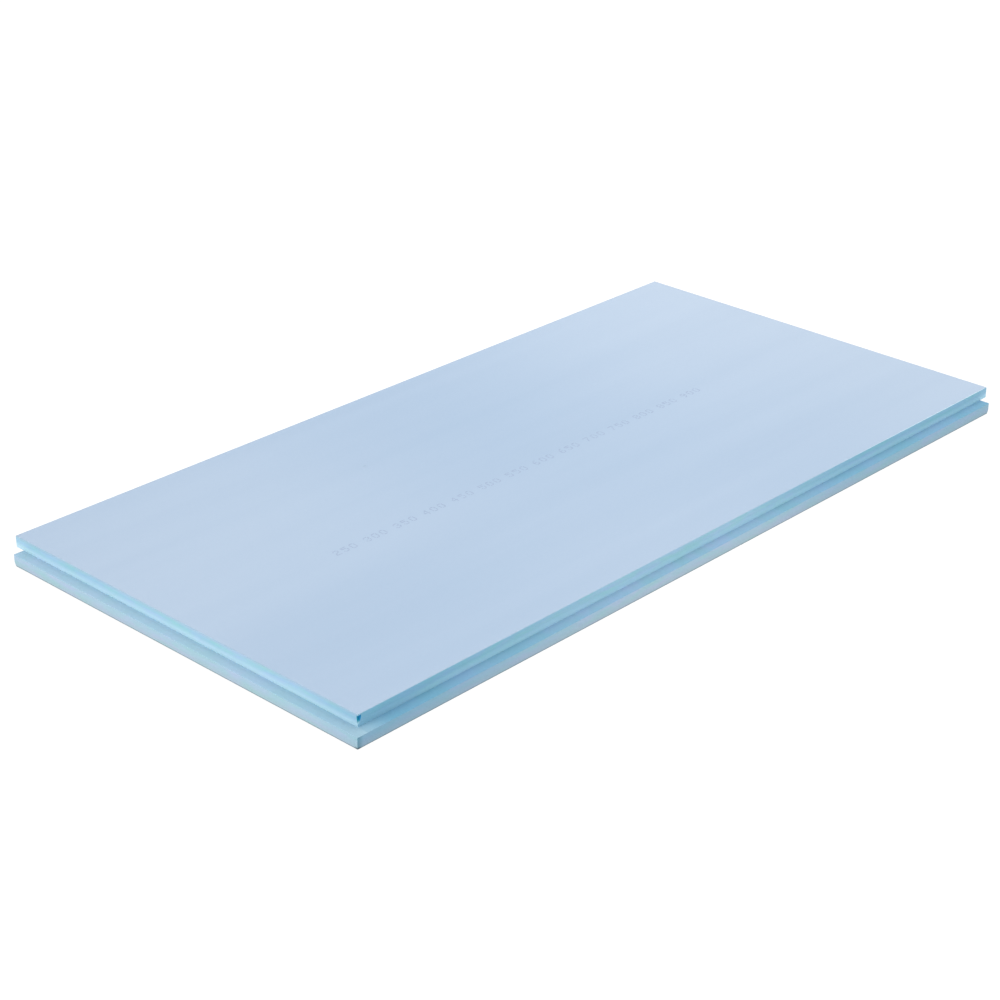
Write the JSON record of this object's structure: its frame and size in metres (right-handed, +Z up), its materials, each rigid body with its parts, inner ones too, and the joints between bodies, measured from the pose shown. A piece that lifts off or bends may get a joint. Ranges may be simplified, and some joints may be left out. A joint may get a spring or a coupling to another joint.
{
  "type": "xps insulation board",
  "caption": "Flat rigid foam insulation board with a smooth skin and half-lapped edges on every side, lying flat.",
  "frame": {"origin": "middle of the board's whole outline, laps included, on the floor under it", "axes": "+X along the length towards the end whose upper lip stands out, +Y across the width towards the side whose upper lip stands out, +Z up through the thickness"},
  "size_m": [1.215, 0.615, 0.03],
  "materials": {
    "foam": "pale blue rigid foam, satin skin on both faces and finely open milled edges"
  },
  "bodies": {
    "root": {"board": "foam"}
  },
  "joints": []
}
